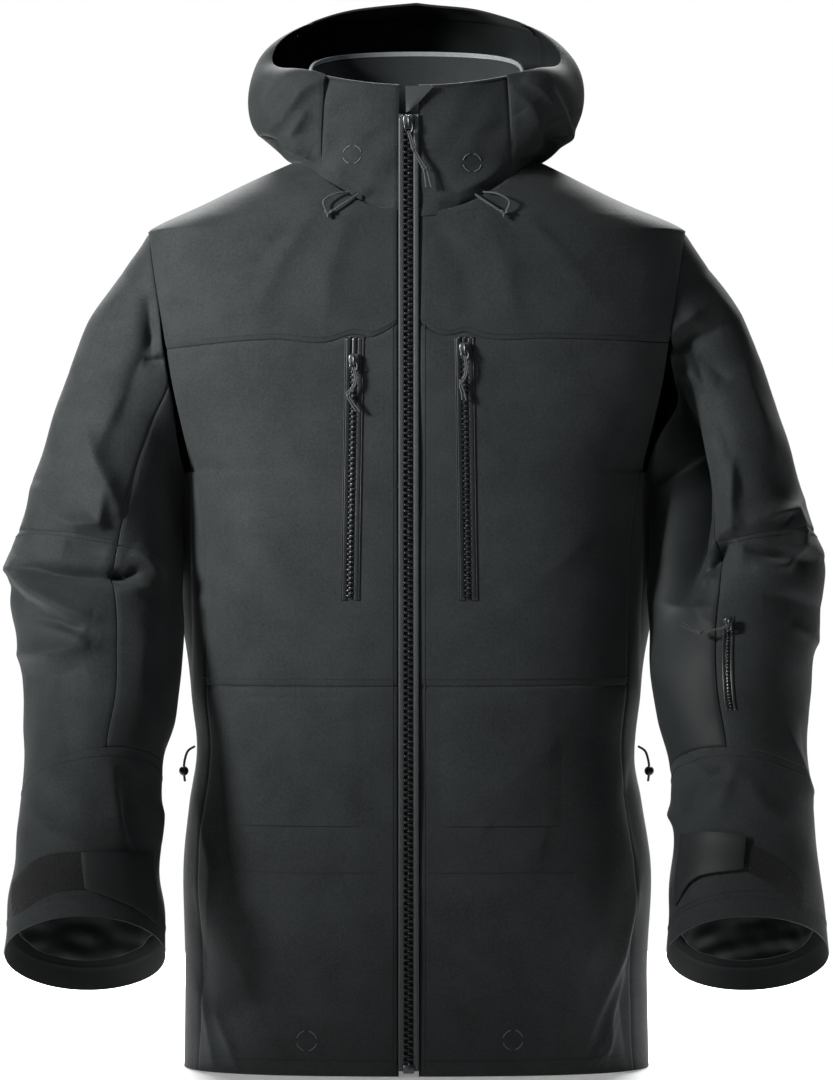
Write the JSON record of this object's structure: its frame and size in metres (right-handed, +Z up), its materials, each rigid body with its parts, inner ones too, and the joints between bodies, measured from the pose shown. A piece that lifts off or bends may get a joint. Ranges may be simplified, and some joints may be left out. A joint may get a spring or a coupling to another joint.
{
  "type": "ski jacket",
  "caption": "Hooded ski jacket: a thin panelled shell with sleeves, collar, zips with cord pulls, pocket flaps, cuff tabs and a powder skirt.",
  "frame": {"origin": "middle of the jacket's bounding box in plan, at the height of the hem", "axes": "+Z up from hem to hood, the front faces -Y, +X towards the wearer's left arm"},
  "size_m": [0.7476, 0.3388, 0.979],
  "materials": {
    "shell_cloth": "matte",
    "lining": "satin",
    "seam_tape": "satin",
    "zip_tape": "satin",
    "pocket_zip": "gloss",
    "coated_metal": "satin",
    "moulded_bead": "satin",
    "loop_fabric": "matte",
    "tab_laminate": "matte",
    "cord": "satin"
  },
  "bodies": {
    "shell": {"lower_front_right": "shell_cloth", "chest_panel_right": "shell_cloth", "front_yoke_right": "shell_cloth", "side_panel_right": "shell_cloth", "lower_front_left": "shell_cloth", "chest_panel_left": "shell_cloth", "front_yoke_left": "shell_cloth", "side_panel_left": "shell_cloth", "back_panel": "shell_cloth", "back_yoke": "shell_cloth", "upper_sleeve_right": "shell_cloth", "forearm_panel_right": "shell_cloth", "under_sleeve_right": "shell_cloth", "wrist_panel_right": "shell_cloth", "cuff_band_right": "shell_cloth", "wrist_gaiter_right": "lining", "upper_sleeve_left": "shell_cloth", "forearm_panel_left": "shell_cloth", "under_sleeve_left": "shell_cloth", "wrist_panel_left": "shell_cloth", "cuff_band_left": "shell_cloth", "wrist_gaiter_left": "lining", "loop_patch_right": "loop_fabric", "loop_patch_left": "loop_fabric", "chin_panel_right": "shell_cloth", "chin_panel_left": "shell_cloth", "inner_collar": "seam_tape", "main_zip_tape_right": "zip_tape", "main_zip_tape_left": "zip_tape", "main_zip_box": "coated_metal", "zip_garage": "shell_cloth", "chest_zip_right": "pocket_zip", "chest_zip_left": "pocket_zip", "forearm_zip": "pocket_zip", "powder_skirt": "lining", "storm_flap": "lining", "hanger_loop": "lining", "hood_cord_right": "cord", "waist_cord_right": "cord", "waist_bead_right": "moulded_bead", "hood_cord_left": "cord", "waist_cord_left": "cord", "waist_bead_left": "moulded_bead"},
    "hood": {"hood_side_right": "shell_cloth", "hood_side_left": "shell_cloth", "hood_centre": "shell_cloth", "hood_brim": "shell_cloth"},
    "main_slider": {"main_zip_slider": "coated_metal"},
    "main_pull": {"main_zip_pull": "cord"},
    "chest_slider_right": {"chest_zip_slider_right": "coated_metal"},
    "chest_pull_right": {"chest_zip_pull_right": "cord"},
    "chest_slider_left": {"chest_zip_slider_left": "coated_metal"},
    "chest_pull_left": {"chest_zip_pull_left": "cord"},
    "forearm_slider": {"forearm_zip_slider": "coated_metal"},
    "forearm_pull": {"forearm_zip_pull": "cord"},
    "cuff_tab_right": {"cuff_tab_right": "tab_laminate"},
    "cuff_tab_left": {"cuff_tab_left": "tab_laminate"},
    "pocket_flap_right": {"hand_pocket_flap_right": "shell_cloth"},
    "pocket_flap_left": {"hand_pocket_flap_left": "shell_cloth"}
  },
  "joints": [
    {"name": "main_zip_slide", "type": "slide", "parent": "shell", "child": "main_slider", "axis": [0, -0.0253, -0.9997], "range_m": [0, 0.838]},
    {"name": "main_pull_swing", "type": "hinge", "parent": "main_slider", "child": "main_pull", "pos_m": [-0.007, -0.07925, 0.854], "axis": [-1, 0, 0], "range_deg": [0, 110]},
    {"name": "chest_zip_slide_right", "type": "slide", "parent": "shell", "child": "chest_slider_right", "axis": [-0.0172, -0.0208, -0.9996], "range_m": [0, 0.206]},
    {"name": "chest_pull_swing_right", "type": "hinge", "parent": "chest_slider_right", "child": "chest_pull_right", "pos_m": [-0.05734, -0.08552, 0.642], "axis": [-1, 0, 0], "range_deg": [0, 100]},
    {"name": "chest_zip_slide_left", "type": "slide", "parent": "shell", "child": "chest_slider_left", "axis": [0.017, -0.0228, -0.9996], "range_m": [0, 0.216]},
    {"name": "chest_pull_swing_left", "type": "hinge", "parent": "chest_slider_left", "child": "chest_pull_left", "pos_m": [0.04393, -0.08582, 0.652], "axis": [-1, 0, 0], "range_deg": [0, 100]},
    {"name": "forearm_zip_slide", "type": "slide", "parent": "shell", "child": "forearm_slider", "axis": [0.0012, -0.367, -0.9302], "range_m": [0, 0.068]},
    {"name": "forearm_pull_swing", "type": "hinge", "parent": "forearm_slider", "child": "forearm_pull", "pos_m": [0.28034, -0.09286, 0.40732], "axis": [0, 0, 1], "range_deg": [0, 110]},
    {"name": "cuff_tab_hinge_right", "type": "hinge", "parent": "shell", "child": "cuff_tab_right", "pos_m": [-0.22863, -0.11395, 0.18514], "axis": [-0.0671, 0.3328, 0.9406], "range_deg": [0, 90]},
    {"name": "cuff_tab_hinge_left", "type": "hinge", "parent": "shell", "child": "cuff_tab_left", "pos_m": [0.22863, -0.11395, 0.18514], "axis": [-0.0671, -0.3328, -0.9406], "range_deg": [0, 90]},
    {"name": "pocket_flap_hinge_right", "type": "hinge", "parent": "shell", "child": "pocket_flap_right", "pos_m": [-0.10655, -0.06849, 0.344], "axis": [-0.9607, 0.2775, 0], "range_deg": [0, 38]},
    {"name": "pocket_flap_hinge_left", "type": "hinge", "parent": "shell", "child": "pocket_flap_left", "pos_m": [0.07712, -0.07788, 0.344], "axis": [-0.9869, -0.161, 0], "range_deg": [0, 38]},
    {"name": "hood_tilt", "type": "hinge", "parent": "shell", "child": "hood", "pos_m": [0, 0.12744, 0.834], "axis": [-1, 0, 0], "range_deg": [0, 50]}
  ]
}
